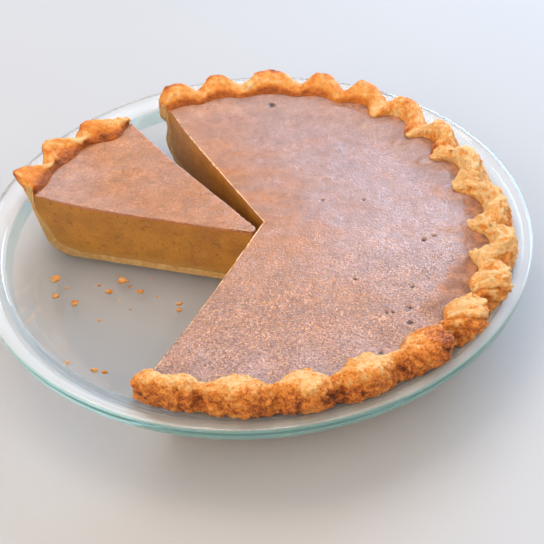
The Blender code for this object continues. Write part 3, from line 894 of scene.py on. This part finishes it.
# The pastry's colours, from pale to charred, and where it isn't browned. The darker ones also serve for
# painted shade, the palest for a painted highlight.
CREAM, GOLD, HONEY = (0.93, 0.57, 0.24), (0.92, 0.40, 0.090), (0.84, 0.265, 0.036)
AMBER, BROWN = (0.62, 0.165, 0.026), (0.36, 0.086, 0.017)
UMBER, CHAR = (0.17, 0.042, 0.011), (0.06, 0.020, 0.009)
DOUGH, PALE_DOUGH = (0.56, 0.32, 0.095), (0.84, 0.57, 0.23)


def crust_material(name):
    made = Nodes(name)
    broad, fine, grain = made.noise(0.007, 4, 0.6), made.noise(0.0024, 5, 0.7), made.noise(0.0009, 4, 0.7)
    level, speckle = made.attribute("bake_and_shade"), made.attribute("speckle")
    for noise_value, share in ((broad, 0.6), (fine, 0.85), (grain, 1.0)):
        part = made.math("MULTIPLY", made.math("SUBTRACT", noise_value), share)
        level = made.math("ADD", level, made.math("MULTIPLY", part, speckle))
    # The level picks the pastry's colour: browning, painted shade and a painted highlight together.
    colour = made.ramp(level, (0.03, CREAM), (0.19, GOLD), (0.37, HONEY), (0.55, AMBER), (0.72, BROWN),
                       (0.88, UMBER), (1.0, CHAR))
    dough = made.ramp(fine, (0.35, DOUGH), (0.62, PALE_DOUGH))
    made.set("Base Color", made.mix(made.math("MULTIPLY", made.attribute("dough"), 0.75), colour, dough))
    made.set("Roughness", made.ramp(fine, (0.3, 0.45), (0.7, 0.68)))
    made.set("Specular IOR Level", 0.26)
    made.set("Subsurface Weight", 0.10)
    made.set("Subsurface Radius", (0.004, 0.002, 0.001))
    made.set("Subsurface Scale", 0.5)
    rough_part = made.bump(fine, 0.0020, 0.9)
    made.set("Normal", made.bump(grain, 0.0010, 0.9, rough_part))
    return made.material


def filling_material(name):
    made = Nodes(name)
    broad, mottle, blotch = made.noise(0.030, 3), made.noise(0.008, 4, 0.6), made.noise(0.012, 4, 0.6)
    fine, grain, specks = made.noise(0.0014, 4, 0.65), made.noise(0.0008, 3, 0.6), made.noise(0.0022, 2, 0.5)
    pits, band, grainy = made.cells(0.0016), made.attribute("near"), made.attribute("grainy")
    drift = made.noise(0.018, 3, 0.6, (1.0, 1.8, 1.0))

    def grained(value, *stops):
        return made.math("MULTIPLY", made.ramp(value, *stops), grainy)

    warm = made.mix(made.ramp(broad, (0.35, 0.0), (0.65, 1.0)), (0.452, 0.162, 0.048), (0.474, 0.174, 0.057))
    # The painted sheen's lavender colour.
    skin = made.mix(made.attribute("painted_sheen"), warm, (0.415, 0.236, 0.202))
    skin = made.mix(grained(fine, (0.46, 0.0), (0.58, 0.75)), skin, (0.26, 0.095, 0.038))
    skin = made.mix(grained(grain, (0.54, 0.0), (0.64, 0.75)), skin, (0.82, 0.43, 0.21))
    skin = made.mix(grained(specks, (0.62, 0.0), (0.72, 0.45)), skin, (0.21, 0.072, 0.028))
    flecks = made.noise(0.0036, 3, 0.6)
    darker = ((drift, 0.34, 0.62, 0.86), (mottle, 0.36, 0.60, 0.85), (flecks, 0.38, 0.58, 0.84))
    for value, low, high, dark in darker:
        skin = made.mix(1.0, skin, made.ramp(value, (low, dark), (high, 1.0)), "MULTIPLY")
    spots = made.ramp(flecks, (0.42, 0.0), (0.62, 1.0))
    # Rust and painted shade in the ring beside the crust.
    rust_and_shade = made.mix(spots, (0.24, 0.086, 0.030), (0.44, 0.165, 0.060))
    patchy = made.math("MULTIPLY", band, made.ramp(mottle, (0.36, 0.55), (0.60, 1.35)))
    skin = made.mix(made.ramp(patchy, (0.25, 0.0), (0.60, 0.65), (1.0, 0.95)), skin, rust_and_shade)
    # A painted highlight along the top's edge at a cut.
    lip_highlight = made.math("MULTIPLY", made.attribute("lip"), made.ramp(mottle, (0.35, 0.45), (0.60, 1.25)))
    skin = made.mix(made.ramp(lip_highlight, (0.25, 0.0), (0.85, 0.95)), skin, (0.95, 0.60, 0.30))
    # Painted shade inside the holes.
    skin = made.mix(made.ramp(made.attribute("mark"), (0.1, 0.0), (0.8, 0.9)), skin, (0.03, 0.011, 0.005))
    inner = made.mix(made.ramp(blotch, (0.40, 0.0), (0.62, 1.0)), (0.47, 0.186, 0.007), (0.36, 0.134, 0.005))
    inner = made.mix(made.ramp(fine, (0.48, 0.0), (0.62, 0.35)), inner, (0.28, 0.095, 0.005))
    inner = made.mix(made.ramp(grain, (0.57, 0.0), (0.68, 0.35)), inner, (0.62, 0.28, 0.04))
    inner = made.mix(made.ramp(specks, (0.62, 0.0), (0.70, 0.55)), inner, (0.13, 0.042, 0.005))
    inner = made.mix(made.ramp(made.attribute("crisp"), (0.2, 0.0), (0.8, 0.85)), inner, (0.46, 0.135, 0.020))
    inner = made.mix(made.ramp(made.attribute("low"), (0.2, 0.0), (1.0, 0.6)), inner, (0.46, 0.22, 0.035))
    made.set("Base Color", made.mix(made.attribute("skin"), inner, skin))
    dull = made.math("MAXIMUM", band, made.attribute("mark"))
    shine = made.math("ADD", made.math("MULTIPLY", dull, 0.50), made.ramp(drift, (0.32, 0.34), (0.66, 0.24)))
    made.set("Roughness", made.mix(made.attribute("skin"), (0.6, 0.6, 0.6), shine))
    made.set("Specular IOR Level", 0.75)
    made.set("Subsurface Weight", 0.12)
    made.set("Subsurface Radius", (0.004, 0.002, 0.0008))
    made.set("Subsurface Scale", 0.6)
    low = made.bump(made.math("MULTIPLY", made.ramp(pits, (0.0, 0.0), (0.35, 1.0)), grainy), 0.0003, 0.6)
    middle = made.bump(made.math("MULTIPLY", fine, grainy), 0.0006, 0.6, low)
    made.set("Normal", made.bump(made.math("MULTIPLY", grain, grainy), 0.0005, 0.7, middle))
    return made.material


CLEAR, PALE_GREEN, EDGE_GREEN = (0.985, 0.992, 0.992), (0.93, 0.98, 0.975), (0.44, 0.90, 0.89)


def glass_material(name, transmission):
    """Clear glass that turns green where it is seen edge on, by the thickness kept on its points."""
    made = Nodes(name)
    tint = made.ramp(made.attribute("thick"), (0.0, CLEAR), (0.35, PALE_GREEN), (0.85, EDGE_GREEN))
    made.set("Base Color", tint)
    made.set("Transmission Weight", transmission)
    made.set("IOR", 1.32)
    made.set("Roughness", made.ramp(made.noise(0.02, 2), (0.3, 0.015), (0.7, 0.03)))
    absorb = made.add("ShaderNodeVolumeAbsorption")
    absorb.inputs["Color"].default_value = (0.45, 0.92, 0.90, 1)
    absorb.inputs["Density"].default_value = 0.4
    output = made.tree.nodes["Material Output"]
    made.tree.links.new(absorb.outputs["Volume"], output.inputs["Volume"])
    return made.material


# ---------------------------------------------------------------- floor, lights and camera

def make_floor():
    mesh = bpy.data.meshes.new("floor")
    work = bmesh.new()
    bmesh.ops.create_grid(work, x_segments=8, y_segments=8, size=3.0)
    work.to_mesh(mesh)
    work.free()
    made = Nodes("pale_floor")
    tone = made.noise(0.25, 2)
    made.set("Base Color", made.ramp(tone, (0.3, (0.43, 0.418, 0.41)), (0.7, (0.45, 0.436, 0.428))))
    made.set("Roughness", 0.7)
    made.set("Specular IOR Level", 0.2)
    floor = new_object("floor", mesh, made.material)
    floor.location.z = CAD_BOX[0].z - 0.0002


def soft_light(name, at, aim, size, power, colour):
    data = bpy.data.lights.new(name, "AREA")
    data.shape, data.size, data.size_y = "RECTANGLE", size[0], size[1]
    data.energy, data.color = power, colour
    light = bpy.data.objects.new(name, data)
    bpy.context.scene.collection.objects.link(light)
    light.location = at
    light.rotation_euler = (Vector(aim) - Vector(at)).to_track_quat("-Z", "Y").to_euler()


def make_light():
    world = bpy.data.worlds.new("soft_world")
    bpy.context.scene.world = world
    world.use_nodes = True
    back = world.node_tree.nodes["Background"]
    back.inputs["Color"].default_value = (0.97, 0.96, 1.0, 1)
    back.inputs["Strength"].default_value = 0.62
    soft_light("window", (0.85, 1.30, 0.72), (0, 0, 0.03), (1.2, 0.9), 42.0, (0.42, 0.68, 1.0))
    soft_light("overhead", (-0.30, 0.50, 1.35), (0, 0, 0.03), (0.9, 0.8), 11.0, (1.0, 0.88, 0.76))
    soft_light("side", (1.15, -0.35, 0.85), (0, 0, 0.03), (1.2, 1.0), 8.0, (1.0, 0.92, 0.82))
    soft_light("room", (-0.8, -0.8, 0.7), (0, 0, 0.03), (1.2, 1.0), 11.5, (1.0, 0.87, 0.72))


CAMERA_LIFT, CAMERA_ROLL, CAMERA_AWAY = math.radians(41.47), math.radians(-3.58), 0.4847
CAMERA_SIDE, CAMERA_UP, CAMERA_LENS, SENSOR = -0.00646, -0.00088, 69.5, 36.0


def make_camera():
    data = bpy.data.cameras.new("camera")
    data.lens, data.sensor_width = CAMERA_LENS, SENSOR
    camera = bpy.data.objects.new("camera", data)
    bpy.context.scene.collection.objects.link(camera)
    bpy.context.scene.camera = camera
    forward = Vector((0, math.cos(CAMERA_LIFT), -math.sin(CAMERA_LIFT)))
    right = Vector((1, 0, 0))
    up = right.cross(forward)
    side = right * math.cos(CAMERA_ROLL) + up * math.sin(CAMERA_ROLL)
    lift = up * math.cos(CAMERA_ROLL) - right * math.sin(CAMERA_ROLL)
    turn = Matrix((side, lift, -forward)).transposed().to_4x4()
    turn.translation = DISH_BASE - forward * CAMERA_AWAY - side * CAMERA_SIDE - lift * CAMERA_UP
    camera.matrix_world = turn


# ---------------------------------------------------------------- the scene

DISH_LOW, DISH_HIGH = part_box("pie_dish")
DISH_BASE = Vector(((DISH_LOW.x + DISH_HIGH.x) / 2, (DISH_LOW.y + DISH_HIGH.y) / 2, DISH_LOW.z))


def slice_place():
    turn = Matrix.Rotation(SLICE_TURN, 4, "Z")
    point = turn @ CUT_POINT.to_3d()
    return Matrix.Translation(SLICE_POINT.to_3d() - point) @ turn


def main():
    crust, filling = crust_material("baked_crust"), filling_material("pumpkin_filling")
    glass = glass_material("clear_glass", 0.93), glass_material("pale_glass_rim", 0.80)
    made = [make_dish(*glass), make_crust("crust", PIE, "pie_crust", crust),
            make_filling("filling", PIE, "pie_filling", filling), make_crumbs(crust)]
    served = [make_crust("crust_of_slice", SLICE, "slice_crust", crust),
              make_filling("filling_of_slice", SLICE, "slice_filling", filling)]
    for piece in served:
        piece.data.transform(slice_place())
    for piece in made + served:
        piece.data.transform(Matrix.Translation(DISH_BASE))
        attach(piece, BODY)
    make_floor()
    make_light()
    make_camera()
    bpy.context.scene.view_settings.view_transform = "Standard"


main()
